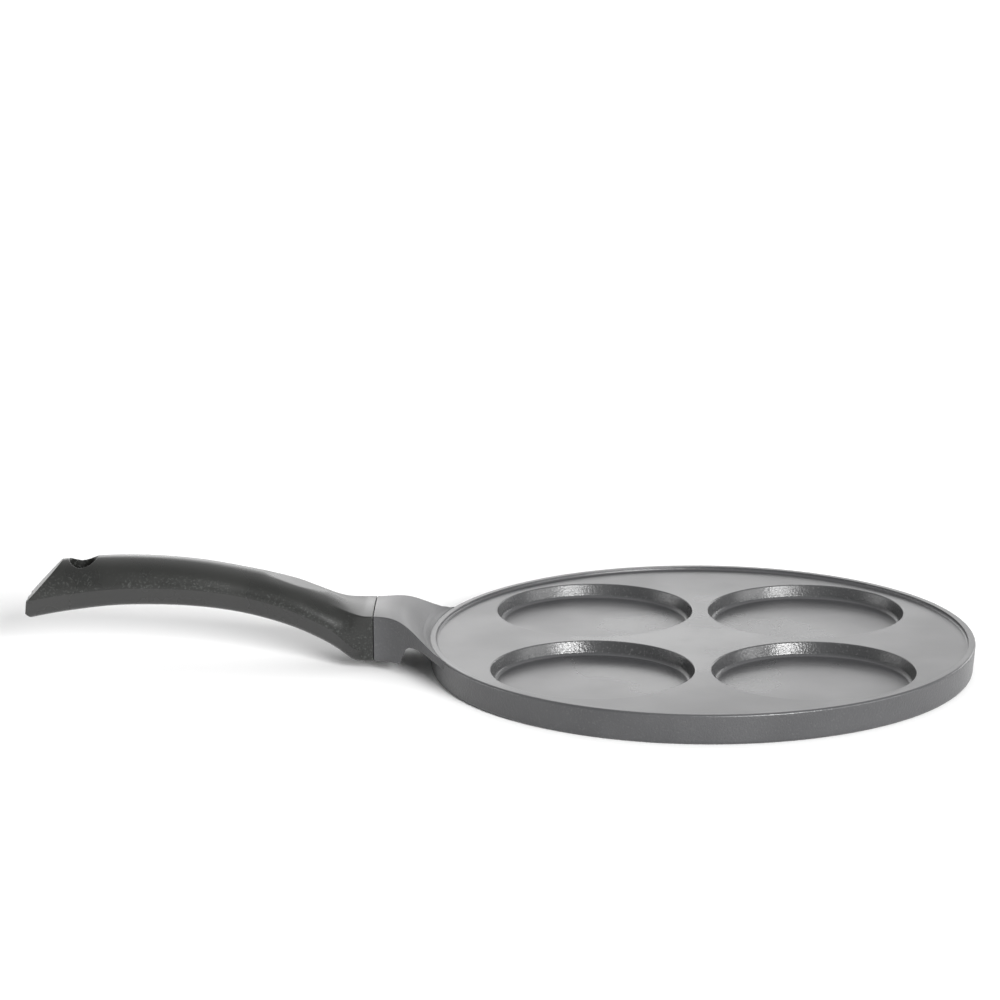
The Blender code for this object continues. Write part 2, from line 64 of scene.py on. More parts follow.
# Cast disc
BODY_HEIGHT = 0.0145
WALL_DRAFT = 0.0010
BASE_CORNER = 0.0020
RIM_WIDTH = 0.0034
RIM_DROP = 0.0018
RIM_EDGE_RADIUS = 0.0011
RIM_INNER_EDGE_RADIUS = 0.0004
RIM_FOOT_RADIUS = 0.0010

# Wells
WELL_COUNT = 4
WELL_START_ANGLE = math.radians(45)
WELL_RIM_MARGIN = 0.0051
WELL_SPACING = 0.0072
WELL_DEPTH = 0.0066
WELL_DRAFT = 0.0014
WELL_FILLET = 0.0022
WELL_EDGE_RADIUS = 0.0006

# Holes of the perforated steel plate
PLATE_HOLE_RADIUS = 0.0030
PLATE_HOLE_RINGS = ((0.045, 8), (0.066, 12), (0.087, 16))
PLATE_EDGE = 0.0002

# Neck
NECK_WIDTH = 0.0380
NECK_FLARE = 0.0310
NECK_BOTTOM = 0.0056
NECK_HEIGHT = 0.0225
NECK_CROWN = 0.0012
CROWN_START_SHARE = 0.01
NECK_EDGE = 0.0008
NECK_DRAFT = 0.0012
NECK_RIM_OVERLAP = 0.0017
NECK_RIM_STEP = 0.0002
NECK_END_RISE = 0.0004
NECK_ROOT_DEPTH = 0.0006
NECK_END_ROUND = 0.0003
NECK_GROOVES = ((-0.0008, 0.0012, 0.0010), (0.0026, 0.0008, 0.0002))
HEEL_LENGTH = 0.0110

# Arch under the neck: share of the way from the heel to the rim, and rise, both read off
# the photograph through the camera, as the handle's lines below are
UNDER_LINE = ((0.0, 0.0), (0.07, 0.0022), (0.20, 0.0084), (0.36, 0.0099),
              (0.62, 0.0088), (0.80, 0.0066), (1.0, 0.0038))

# Tang inside the handle
TANG_LENGTH = 0.0400
TANG_ROOT_WIDTH = 0.0240
TANG_TIP_WIDTH = 0.0160
TANG_ROOT_HEIGHT = 0.0110
TANG_TIP_HEIGHT = 0.0080
TANG_ROOT_COVER = 0.0030
TANG_CORNER = 0.0010
TANG_ANCHOR = 0.0040
SOCKET_END_GAP = 0.0010

# Handle
GRIP_HALF_WIDTH = 0.0134
GRIP_BOTTOM_HALF_WIDTH = 0.0085
GRIP_CREASE_ROUND = 0.0004
GRIP_FOOT_ROUND = 0.0032
GRIP_SHOULDER_ANGLE = 50
GRIP_SHOULDER_SPAN = 6
CREASE_BAND = (0.15, 0.35)
NARROWING_LENGTH = 0.0700
TAIL_LENGTH = 0.0434
END_HALF_WIDTH = 0.0098
END_CUT_RUN = 0.0188
END_CUT_DROP = 0.0209
END_TIP_RISE = 0.0084
END_TIP_CHAMFER = 0.0030
END_ROUND = 0.00015
END_SHEAR_LENGTH = 0.0400

# Crown and underside of the handle: share of its length from the joint, and rise
TOP_LINE = ((0.0, 0.0), (0.03, 0.0002), (0.06, 0.0014), (0.085, 0.0028), (0.11, 0.0045),
            (0.17, 0.0085), (0.23, 0.0123), (0.36, 0.0173), (0.52, 0.0218), (0.69, 0.0234),
            (0.84, 0.0223), (1.0, 0.0189))
BOTTOM_LINE = ((0.0, 0.0), (0.05, 0.0), (0.065, 0.0006), (0.10, 0.0040), (0.16, 0.0093),
               (0.24, 0.0148), (0.36, 0.0202), (0.48, 0.0233), (0.61, 0.0245),
               (0.75, 0.0239), (0.88, 0.0208), (1.0, 0.0167))

# Lower bevel, change from block to grip, thumb rest and end face
BEVEL_HEIGHT = 0.0097
SHAPE_CHANGE_START = 0.002
SHAPE_CHANGE_END = 0.022
THUMB_START = 0.0225
THUMB_LENGTH = 0.0305
THUMB_FADE = THUMB_LENGTH / 8
THUMB_EDGE_ROUND = 0.00025
END_FACE_RINGS = (0.92, 0.8, 0.65, 0.5, 0.35, 0.2, 0.08)

# Hanging hole
HANG_HOLE_FROM_END = 0.0280
HANG_HOLE_LENGTH = 0.0144
HANG_HOLE_WIDTH = 0.0164
HANG_HOLE_FOOT_LENGTH = 0.0110
HANG_HOLE_FOOT_WIDTH = 0.0120
HANG_HOLE_ROUND = 0.0005

# Screw and washers
SCREW_RADIUS = 0.0025
SCREW_HEAD_RADIUS = 0.0040
SCREW_HEAD_HEIGHT = 0.0030
SCREW_EDGE = 0.0003
SCREW_KEY_RADIUS = 0.0023
SCREW_KEY_DEPTH = 0.0017
SCREW_KEY_SIDES = 6
SCREW_SEAT_WALL = 0.0036
WASHER_RADIUS = 0.0040
LOCK_WASHER_RADIUS = 0.0038
LOCK_WASHER_SPLIT = 0.0010
HEAD_CLEARANCE = 0.0004

# Smoothness of the round stretches
RIM_STEPS = 256
WELL_STEPS = 160
EDGE_STEPS = 6
FILLET_STEPS = 10
HOLE_STEPS = 32
SCREW_STEPS = 64
CORNER_STEPS = 5
CROWN_STEPS = 40
SIDE_STEPS = 16
NECK_CROWN_STEPS = 24
HEEL_STATIONS = 10
ARCH_STATIONS = 36
ROOT_STATIONS = 36
ROOT_SHARE = 0.75
HANDLE_SPACING = 0.0005
FINE_SPACING = 0.00025
SLOT_END_STEPS = 40
HALVINGS = 40

# Shading: edges sharper than these degrees stay crisp, and flat faces stay flat
SHARP_ANGLE = 30
HANDLE_SHARP_ANGLE = 35
FACE_WEIGHT = 100
FACES_DOWN = -0.999

# Nearer the XZ plane than this, a point lies on it
ON_AXIS = 1e-9

# Smallest reach of a rounded edge
LEAST_ROUND = 1e-6

# Share of the grip's half width beyond which its top isn't followed down
WIDEST_SHARE = 0.999

# Coating: tones, patterns in waves per metre, and the bands that turn a pattern into a mask
COATING_TONES = ((0.041, 0.0413, 0.0433), (0.048, 0.0483, 0.0505))
COATING_CLOUDS = 28
COATING_ROUGHNESS = (0.31, 0.37)
STREAK_TONE = (0.055, 0.055, 0.056)
STREAK_STRETCH = (30, 320, 30)
STREAK_BAND = (0.55, 0.8)
STREAK_SHARE = 0.25
# Painted shade: the upright walls inside the outer wall, those of the wells and the rim, are
# darkened towards this tone by this share
PAINTED_WELL_SHADE_TONE = (0.026, 0.0265, 0.027)
PAINTED_WELL_SHADE_SHARE = 0.7
SPECK_TONE = (0.060, 0.060, 0.061)
SPECKS = 900
SPECK_BAND = (0.55, 0.75)
SAND = 1000
SAND_DEPTH = 0.00018
LEVEL_SAND_SHARE = 0.05
UPRIGHT_TILT = (0.9, 0.35)
CLOUD_BAND = (0.35, 0.65)
WIDE_CLOUD_BAND = (0.3, 0.7)

# Where the coating has worn smoother in the middle, and by how much
WORN_RADIUS = (0.03, 0.115)
WORN_SMOOTHING = 0.09

# Distances from the pan's axis: the polished thumb rest's two ends, and the outer wall
THUMB_REST_INNER = (0.155, 0.175)
THUMB_REST_OUTER = (0.215, 0.200)
OUTER_WALL_RADIUS = (0.123, 0.118)

# Plastic: tones of the sides, lighter tones on the lower bevel that are painted bounce light from
# the floor, and specks in patches
PLASTIC_TONES = ((0.0112, 0.0116, 0.0108), (0.0138, 0.0142, 0.0132))
# Painted bounce light: faces that tilt down get these lighter tones
PAINTED_BOUNCE_TONES = ((0.0240, 0.0242, 0.0236), (0.0262, 0.0260, 0.0254))
PLASTIC_SPECK_TONE = (0.036, 0.038, 0.036)
PLASTIC_CLOUDS = 45
PLASTIC_SPECKS = 1100
PLASTIC_SPECK_BAND = (0.54, 0.66)
PLASTIC_PATCHES = 60
PATCH_BAND = (0.3, 0.5)
PLASTIC_ROUGHNESS = (0.26, 0.30)
PLASTIC_SHINE = (0.4, 0.72)
PLASTIC_GRAIN_DEPTH = 0.00003
BEVEL_TILT = (-0.15, -0.35)
FLANK_TILT = (0.7, 0.3)
THUMB_REST_TILT = (0.75, 0.95)

# Turned metal: tone, roughness, and the spacing and depth of its turning lines
BARE_CASTING = ((0.62, 0.62, 0.63), 0.38, 0.0006, 0.00002)
BASE_STEEL = ((0.52, 0.52, 0.51), 0.30, 0.0004, 0.00001)
METAL_CLOUDS = 60
METAL_LIGHTER = 1.12
METAL_ROUGHNESS_SPREAD = (-0.04, 0.05)

# Plated steel of the screw and washers
PLATED_TONES = ((0.50, 0.50, 0.49), (0.64, 0.64, 0.62))
PLATED_CLOUDS = 700
PLATED_ROUGHNESS = (0.26, 0.36)
PLATED_DEPTH = 0.00002

# Floor
FLOOR_TONES = ((0.91, 0.91, 0.91), (0.93, 0.93, 0.93))
FLOOR_CLOUDS = 3
FLOOR_ROUGHNESS = 0.9
FLOOR_RADIUS = 9.0
FLOOR_STEPS = 64

# The camera stands two metres in front of the pan and looks at a point on the table
# behind it. These numbers come from a fit to the ellipses of the rim and the wells in the
# photograph, rounded to a tenth of a millimetre.
CAMERA_PLACE = (-0.0324, -1.9508, 0.5714)
CAMERA_TARGET = (-0.1064, 0.3205, 0)
CAMERA_ROLL = math.radians(0.2)
CAMERA_LENS = 152.9
CAMERA_SENSOR = 36

# Lights. Their strengths began as a fit to tones of the photograph, and were then rounded,
# merged and changed.
# The room's brightness, and its brighter side: azimuth from behind the object towards its
# right, elevation, narrowness and added brightness
WORLD_BASE = 0.50
WORLD_LOBE = (0, 60, 6, 0.75)

# The sun that gives the shadows: azimuth and elevation, strength and width
SUN = (150, 20, 5.8, 23)

# Cards that only the gloss reflects: place, width, height and power. Three of one power
# stand behind the pan, larger or stronger ones back left and back right, and a low one
# at each side.
BACK_CARD_POWER = 2.2
CARDS = (("back_left_card", (-0.90, 1.60, 0.60), 1.60, 1.00, 4.5),
         ("back_card", (-0.30, 1.90, 0.55), 0.80, 0.50, BACK_CARD_POWER),
         ("high_back_card", (-0.10, 1.60, 1.00), 1.00, 0.50, BACK_CARD_POWER),
         ("back_middle_card", (0.50, 1.90, 0.50), 0.80, 0.50, BACK_CARD_POWER),
         ("back_right_card", (1.30, 1.50, 0.35), 0.80, 0.50, 6.0),
         ("low_right_card", (1.30, -0.40, 0.25), 0.60, 0.40, 7.0),
         ("low_left_card", (-1.00, 0.20, 0.10), 0.60, 0.20, 3.0))

# Places worked out from the sizes above
FLOOR_Z = BODY_HEIGHT - RIM_DROP
INNER_RADIUS = RIM_RADIUS - RIM_WIDTH - RIM_FOOT_RADIUS
SPREAD = 2 * math.sin(math.pi / WELL_COUNT)
WELL_RADIUS = (SPREAD * (INNER_RADIUS - WELL_RIM_MARGIN) - WELL_SPACING) / (2 + SPREAD)
WELL_ORBIT = INNER_RADIUS - WELL_RIM_MARGIN - WELL_RADIUS
JOINT_X = HANDLE_X + FIT_GAP
NECK_HALF = NECK_WIDTH / 2
NECK_TOP = NECK_BOTTOM + NECK_HEIGHT
NECK_END_RADIUS = RIM_RADIUS - NECK_RIM_OVERLAP
HEEL_SHARE = HEEL_LENGTH / (-JOINT_X - NECK_END_RADIUS)

# Columns of the half sections where the neck's top and the handle's crown begin
NECK_TOP_START = CORNER_STEPS + 4
SHOULDER_COLUMN = 2 * (CORNER_STEPS + 1) + 1 + SIDE_STEPS


def smooth_step(value):
    """Ease from 0 to 1 with level ends."""
    value = min(max(value, 0.0), 1.0)
    return value * value * (3 - 2 * value)


def mix(a, b, share):
    """Value between a and b."""
    return a + (b - a) * share


def line_height(line, share):
    """Height of a smooth curve through the points of a line."""
    share = min(max(share, line[0][0]), line[-1][0])
    index = 0
    while index < len(line) - 2 and share > line[index + 1][0]:
        index += 1

    def slope(i):
        low = max(i - 1, 0)
        high = min(i + 1, len(line) - 1)
        return (line[high][1] - line[low][1]) / (line[high][0] - line[low][0])

    (x0, z0), (x1, z1) = line[index], line[index + 1]
    width = x1 - x0
    t = (share - x0) / width
    return ((2 * t ** 3 - 3 * t ** 2 + 1) * z0 + (t ** 3 - 2 * t ** 2 + t) * width * slope(index)
            + (3 * t ** 2 - 2 * t ** 3) * z1 + (t ** 3 - t ** 2) * width * slope(index + 1))


def arc(centre_u, centre_v, radius, start, end, steps):
    """Points along an arc, angles in degrees."""
    points = []
    for i in range(steps + 1):
        angle = math.radians(start + (end - start) * i / steps)
        points.append((centre_u + radius * math.cos(angle), centre_v + radius * math.sin(angle)))
    return points


def bend(start, at, end, t):
    """Point of the soft bend that leaves start towards at and arrives at end."""
    return tuple(Vector(start) * (1 - t) ** 2 + Vector(at) * 2 * t * (1 - t)
                 + Vector(end) * t ** 2)


def corner(before, at, after, reach_in, reach_out, steps):
    """Soft corner between two straight runs of an outline."""
    at = Vector(at)
    start = at + (Vector(before) - at).normalized() * reach_in
    end = at + (Vector(after) - at).normalized() * reach_out
    return [bend(start, at, end, i / steps) for i in range(steps + 1)]


def new_object(name, bm):
    """Put a finished bmesh into the scene with all its faces pointing out."""
    bmesh.ops.recalc_face_normals(bm, faces=bm.faces)
    mesh = bpy.data.meshes.new(name)
    bm.to_mesh(mesh)
    bm.free()
    obj = bpy.data.objects.new(name, mesh)
    bpy.context.scene.collection.objects.link(obj)
    return obj


def lofted(name, sections, closed=False, caps=True):
    """Skin closed sections of equal point count; cap both ends or close the loop."""
    bm = bmesh.new()
    rings = [[bm.verts.new(point) for point in section] for section in sections]
    count = len(rings[0])
    if closed:
        rings.append(rings[0])
    for near, far in zip(rings, rings[1:]):
        for i in range(count):
            j = (i + 1) % count
            bm.faces.new((near[i], near[j], far[j], far[i]))
    if caps and not closed:
        bm.faces.new(rings[0])
        bm.faces.new(rings[-1])
    return new_object(name, bm)


def turned(name, outline, steps, centre=(0, 0)):
    """Turn an (r, z) outline that starts and ends on the axis."""
    bm = bmesh.new()
    cx, cy = centre
    bottom = bm.verts.new((cx, cy, outline[0][1]))
    top = bm.verts.new((cx, cy, outline[-1][1]))
    rings = []
    for radius, z in outline[1:-1]:
        ring = []
        for i in range(steps):
            angle = 2 * math.pi * i / steps
            ring.append(bm.verts.new((cx + radius * math.cos(angle),
                                      cy + radius * math.sin(angle), z)))
        rings.append(ring)
    for i in range(steps):
        j = (i + 1) % steps
        bm.faces.new((bottom, rings[0][j], rings[0][i]))
        bm.faces.new((top, rings[-1][i], rings[-1][j]))
        for low, high in zip(rings, rings[1:]):
            bm.faces.new((low[i], low[j], high[j], high[i]))
    return new_object(name, bm)


def combine(obj, other, operation):
    """Apply an exact Boolean with another object, which is then removed."""
    modifier = obj.modifiers.new(other.name, "BOOLEAN")
    modifier.operation = operation
    modifier.solver = "EXACT"
    modifier.object = other
    graph = bpy.context.evaluated_depsgraph_get()
    made = bpy.data.meshes.new_from_object(obj.evaluated_get(graph))
    obj.modifiers.clear()
    old = obj.data
    obj.data = made
    bpy.data.meshes.remove(old)
    bpy.data.objects.remove(other)


def shade(obj, materials, angle=SHARP_ANGLE):
    """Smooth the round faces, keep the flat ones flat, and give the finish."""
    for material in materials:
        obj.data.materials.append(material)
    obj.data.shade_smooth()
    obj.data.set_sharp_from_angle(angle=math.radians(angle))
    weighted = obj.modifiers.new("flat_faces_stay_flat", "WEIGHTED_NORMAL")
    weighted.mode = "FACE_AREA"
    weighted.weight = FACE_WEIGHT
    weighted.keep_sharp = True
    return obj


def ring_of(half):
    """Close half points (x, y, z) into a ring by mirroring them across the XZ plane."""
    ring = [Vector(point) for point in half]
    return ring + [Vector((x, -y, z)) for x, y, z in reversed(half) if y > ON_AXIS]


def mirrored(half, x_of):
    """Close a half section of (y, z) points into a ring, from the bottom centre up."""
    return ring_of([(x_of(y), y, z) for y, z in half])


def handle_top(x):
    """Height of the handle's crown at x."""
    return NECK_TOP + NECK_CROWN + line_height(TOP_LINE, (HANDLE_X - x) / HANDLE_LENGTH)


def handle_bottom(x):
    """Height of the handle's underside at x."""
    return NECK_BOTTOM + line_height(BOTTOM_LINE, (HANDLE_X - x) / HANDLE_LENGTH)


def handle_tail(distance):
    """How far the handle has drawn in towards its end, by distance from the joint."""
    return smooth_step((distance - HANDLE_LENGTH + TAIL_LENGTH) / TAIL_LENGTH)


def handle_crease(x):
    """Height of the crease above the handle's lower bevel at x."""
    return handle_bottom(x) + BEVEL_HEIGHT


def handle_half_width(x):
    """Half width of the handle in plan, from the joint to its end."""
    distance = HANDLE_X - x
    grip = mix(NECK_HALF, GRIP_HALF_WIDTH, smooth_step(distance / NARROWING_LENGTH))
    return mix(grip, END_HALF_WIDTH, handle_tail(distance))


def block_half_section(half_width, bottom, edge_z, crown, draft, steps, side_shares=()):
    """Half section of the neck: drafted sides, crisp top edges and a low crown."""
    foot = half_width - draft
    flat = half_width - NECK_EDGE
    lower = NECK_EDGE + draft
    low = corner((0, bottom), (foot, bottom), (half_width, edge_z), lower, lower, CORNER_STEPS)
    inner = (flat, edge_z + crown * CROWN_START_SHARE)
    high = corner((foot, bottom), (half_width, edge_z), inner, NECK_EDGE, NECK_EDGE, CORNER_STEPS)
    half = [(0, bottom)] + low
    for share in side_shares:
        half.append((mix(low[-1][0], high[0][0], share), mix(low[-1][1], high[0][1], share)))
    half += high
    for i in range(1, steps + 1):
        y = flat * (1 - i / steps)
        half.append((y, edge_z + crown * (1 - (y / flat) ** 2)))
    return half


def handle_side_shares():
    """Where the block's side is divided, to match the grip's crease and lower sides."""
    low, high = CREASE_BAND
    return ([mix(low, high, i / CORNER_STEPS) for i in range(CORNER_STEPS + 1)]
            + [mix(high, 1, i / (SIDE_STEPS + 1)) for i in range(1, SIDE_STEPS + 1)])


def grip_half_section(half_width, bottom_half_width, bottom, crease, top, steps):
    """Half section of the grip: flat underside, lower bevel and an elliptical top."""
    half = [(0, bottom)]
    foot = (bottom_half_width, bottom)
    side = (half_width, crease)
    above = (half_width, crease + GRIP_CREASE_ROUND)
    half += corner((0, bottom), foot, side, GRIP_FOOT_ROUND, GRIP_FOOT_ROUND, CORNER_STEPS)
    rise = top - crease
    start = math.degrees(math.asin(min(GRIP_CREASE_ROUND / rise, 1)))
    half += corner(foot, side, above, GRIP_CREASE_ROUND, GRIP_CREASE_ROUND, CORNER_STEPS)[:-1]
    shoulder = GRIP_SHOULDER_ANGLE
    flank = shoulder + GRIP_SHOULDER_SPAN
    angles = [mix(start, shoulder, i / (SIDE_STEPS + 1)) for i in range(SIDE_STEPS + 1)]
    angles += [mix(shoulder, flank, i / CORNER_STEPS) for i in range(CORNER_STEPS + 1)]
    angles += [mix(flank, 90, i / steps) for i in range(1, steps + 1)]
    for angle in angles:
        y = half_width * math.cos(math.radians(angle)) if angle < 90 else 0
        half.append((y, crease + rise * math.sin(math.radians(angle))))
    return half


def handle_half_section(x):
    """Half section of the handle, which turns from the neck's block into the round grip."""
    distance = HANDLE_X - x
    change = smooth_step((distance - SHAPE_CHANGE_START)
                         / (SHAPE_CHANGE_END - SHAPE_CHANGE_START))
    half_width = handle_half_width(x)
    top = handle_top(x)
    bottom = handle_bottom(x)
    edge_z = max(top - NECK_CROWN, NECK_TOP)
    block = block_half_section(half_width, bottom, edge_z, top - edge_z, NECK_DRAFT, CROWN_STEPS,
                               handle_side_shares())
    bottom_half = GRIP_BOTTOM_HALF_WIDTH * half_width / GRIP_HALF_WIDTH
    grip = grip_half_section(half_width, bottom_half, bottom, handle_crease(x), top, CROWN_STEPS)
    return [(mix(b[0], g[0], change), mix(b[1], g[1], change)) for b, g in zip(block, grip)]


def soft_min(value, limit, reach):
    """The lower of two heights, rounded where they cross."""
    return (value + limit - np.sqrt((value - limit) ** 2 + reach ** 2)) / 2


def soft_plus(value, reach):
    """The positive part of a length, rounded at zero."""
    return (value + math.sqrt(value * value + reach * reach)) / 2


def thumb_plane(x):
    """Height of the flat thumb rest at x, a chord across the crown."""
    near = HANDLE_X - THUMB_START
    far = near - THUMB_LENGTH
    slope = (handle_top(far) - handle_top(near)) / THUMB_LENGTH
    return handle_top(near) + slope * (near - x)


def handle_grid():
    """Fine grid of the handle's side surface: heights and widths at even stations."""
    count = int(round(HANDLE_LENGTH / FINE_SPACING)) + 1
    places = [mix(HANDLE_X, HANDLE_END_X, i / (count - 1)) for i in range(count)]
    grid = np.array([handle_half_section(x) for x in places])
    near = HANDLE_X - THUMB_START
    far = near - THUMB_LENGTH
    for row, x in enumerate(places):
        if far < x < near:
            fade = smooth_step(min(near - x, x - far) / THUMB_FADE)
            upper = grid[row, SHOULDER_COLUMN:, 1]
            reach = THUMB_EDGE_ROUND * fade + LEAST_ROUND
            grid[row, SHOULDER_COLUMN:, 1] = soft_min(upper, thumb_plane(x), reach)
    return np.array(places), grid


def on_grid(places, grid, x, column):
    """Point (y, z) of the handle's side surface at any x, in one column."""
    step = (places[0] - x) / (places[0] - places[-1]) * (len(places) - 1)
    step = min(max(step, 0.0), len(places) - 1.0)
    row = min(int(step), len(places) - 2)
    y, z = mix(grid[row, column], grid[row + 1, column], step - row)
    return float(y), float(z)


def end_face_x(z):
    """Where the handle ends at height z: slanted face, short upright tip, chamfer."""
    under = handle_bottom(HANDLE_END_X)
    slope = END_CUT_DROP / END_CUT_RUN
    slanted = soft_plus((z - under - END_TIP_RISE) / slope, END_ROUND)
    chamfer = soft_plus(under + END_TIP_CHAMFER - z, END_ROUND)
    return HANDLE_END_X + slanted + chamfer


def end_place(places, grid, column):
    """Where one column of the handle's side meets the end face."""
    low, high = HANDLE_END_X, HANDLE_END_X + END_SHEAR_LENGTH
    for _ in range(HALVINGS):
        middle = (low + high) / 2
        if middle < end_face_x(on_grid(places, grid, middle, column)[1]):
            low = middle
        else:
            high = middle
    return high


def bent_rings(corners):
    """Rings that round an edge, from the start, corner and end of each column."""
    return [[bend(*points, i / CORNER_STEPS) for points in corners]
            for i in range(CORNER_STEPS + 1)]


def handle_rings():
    """Rings of the handle's skin from its joint face to the middle of its end face."""
    places, grid = handle_grid()
    columns = grid.shape[1]
    ends = [end_place(places, grid, c) for c in range(columns)]
    round_in = NECK_END_ROUND
    middle_z = (handle_top(HANDLE_X) + handle_bottom(HANDLE_X)) / 2
    face = []
    for c in range(columns):
        y, z = on_grid(places, grid, HANDLE_X, c)
        inward = Vector((-y, middle_z - z)).normalized() * round_in
        face.append(((HANDLE_X, y + inward.x, z + inward.y), (HANDLE_X, y, z),
                     (HANDLE_X - round_in, *on_grid(places, grid, HANDLE_X - round_in, c))))
    rings = bent_rings(face)
    count = int(HANDLE_LENGTH / HANDLE_SPACING)
    for i in range(1, count):
        base = mix(HANDLE_X - round_in, HANDLE_END_X, i / count)
        shear = max(0.0, 1 - (base - HANDLE_END_X) / END_SHEAR_LENGTH)
        ring = []
        for c in range(columns):
            x = base + shear * (ends[c] + END_ROUND - HANDLE_END_X)
            ring.append((x, *on_grid(places, grid, x, c)))
        rings.append(ring)
    edge = []
    tops = [on_grid(places, grid, ends[c], c)[1] for c in range(columns)]
    middle_z = (max(tops) + min(tops)) / 2
    for c in range(columns):
        y, z = on_grid(places, grid, ends[c], c)
        before = ends[c] + END_ROUND
        inward = Vector((-y, middle_z - z)).normalized() * END_ROUND
        iy, iz = y + inward.x, z + inward.y
        edge.append(((before, *on_grid(places, grid, before, c)), (ends[c], y, z),
                     (end_face_x(iz), iy, iz)))
    rings += bent_rings(edge)
    last = rings[-1]
    for shrink in END_FACE_RINGS:
        ring = []
        for _, y, z in last:
            inner_z = mix(middle_z, z, shrink)
            ring.append((end_face_x(inner_z), y * shrink, inner_z))
        rings.append(ring)
    return [ring_of(ring) for ring in rings]


def slot_outline(centre_x, half_length, half_width):
    """Slot across the handle with round ends in X, Y."""
    run = half_width - half_length
    return (arc(centre_x, run, half_length, 0, 180, SLOT_END_STEPS)
            + arc(centre_x, -run, half_length, 180, 360, SLOT_END_STEPS))


def grip_surface_z(x, y):
    """Height of the grip's elliptical top at (x, y)."""
    crease = handle_crease(x)
    across = min(abs(y) / handle_half_width(x), WIDEST_SHARE)
    return crease + (handle_top(x) - crease) * math.sqrt(1 - across ** 2)


def hang_hole_cutter():
    """Tapered slot whose wide upper mouth is rounded along the crown."""
    centre = HANDLE_END_X + HANG_HOLE_FROM_END
    foot = slot_outline(centre, HANG_HOLE_FOOT_LENGTH / 2, HANG_HOLE_FOOT_WIDTH / 2)
    sections = [[Vector((x, y, 0)) for x, y in foot],
                [Vector((x, y, handle_bottom(centre))) for x, y in foot]]
    half_length = HANG_HOLE_LENGTH / 2 - HANG_HOLE_ROUND
    half_width = HANG_HOLE_WIDTH / 2 - HANG_HOLE_ROUND
    for i in range(EDGE_STEPS + 1):
        angle = math.pi / 2 * i / EDGE_STEPS
        grow = HANG_HOLE_ROUND * (1 - math.cos(angle))
        depth = HANG_HOLE_ROUND * (1 - math.sin(angle))
        outline = slot_outline(centre, half_length + grow, half_width + grow)
        sections.append([Vector((x, y, grip_surface_z(x, y) - depth)) for x, y in outline])
    beyond = 2 * HANG_HOLE_ROUND
    above = HANG_HOLE_ROUND / 4
    wide = slot_outline(centre, half_length + beyond, half_width + beyond)
    sections.append([Vector((x, y, grip_surface_z(x, y) + above)) for x, y in wide])
    sections.append([Vector((x, y, handle_top(centre) + HANG_HOLE_LENGTH)) for x, y in wide])
    return lofted("hang_hole_cutter", sections)


def tang_middle(share):
    """Height of the tang's centre line, straight from its root to its tip."""
    root = NECK_TOP - TANG_ROOT_COVER - TANG_ROOT_HEIGHT / 2
    tip_x = HANDLE_X - TANG_LENGTH
    return mix(root, (handle_top(tip_x) + handle_bottom(tip_x)) / 2, share)


def tang_bar(name, tip_x, grow):
    """Tapered bar that carries the handle, or its socket when grow is its clearance."""
    sections = []
    for x in (JOINT_X + TANG_ANCHOR, tip_x):
        share = (HANDLE_X - x) / TANG_LENGTH
        half_width = mix(TANG_ROOT_WIDTH, TANG_TIP_WIDTH, share) / 2 + grow
        half_height = mix(TANG_ROOT_HEIGHT, TANG_TIP_HEIGHT, share) / 2 + grow
        middle = tang_middle(share)
        cut = TANG_CORNER
        half = [(0, middle - half_height), (half_width - cut, middle - half_height),
                (half_width, middle - half_height + cut), (half_width, middle + half_height - cut),
                (half_width - cut, middle + half_height), (0, middle + half_height)]
        sections.append(mirrored(half, lambda y, x=x: x))
    return lofted(name, sections)


def screw_seat():
    """Height of the plastic seat under the tang that the washers press on."""
    share = (HANDLE_X - SCREW_X) / TANG_LENGTH
    half_height = mix(TANG_ROOT_HEIGHT, TANG_TIP_HEIGHT, share) / 2
    return tang_middle(share) - half_height - SCREW_SEAT_WALL


def rod(name, radius, low, high):
    """Plain rod on the screw's axis."""
    outline = [(0, low), (radius, low), (radius, high), (0, high)]
    return turned(name, outline, SCREW_STEPS, (SCREW_X, 0))


def neck_shares():
    """Stations along the neck: few over the heel, many beside the rim."""
    heel = [HEEL_SHARE * i / HEEL_STATIONS for i in range(HEEL_STATIONS)]
    arch = [mix(HEEL_SHARE, ROOT_SHARE, i / ARCH_STATIONS) for i in range(ARCH_STATIONS)]
    root = [mix(ROOT_SHARE, 1, i / ROOT_STATIONS) for i in range(ROOT_STATIONS + 1)]
    return heel + arch + root


def groove_depth(radius):
    """Depth of the soft grooves that run beside the rim on top of the neck."""
    depth = 0
    for offset, half_width, depth_here in NECK_GROOVES:
        away = (radius - RIM_RADIUS - offset) / half_width
        depth += depth_here * math.exp(-away * away)
    return depth


def neck_half_section(share):
    """Half section of the neck at a share of the way from the joint to the rim."""
    flare = share * share
    half_width = NECK_HALF + NECK_FLARE * flare
    edge_z = mix(NECK_TOP, BODY_HEIGHT + NECK_END_RISE, smooth_step(flare))
    bottom = NECK_BOTTOM + line_height(UNDER_LINE, (share - HEEL_SHARE) / (1 - HEEL_SHARE))
    return block_half_section(half_width, bottom, edge_z, NECK_CROWN * (1 - flare),
                              NECK_DRAFT * (1 - flare), NECK_CROWN_STEPS)


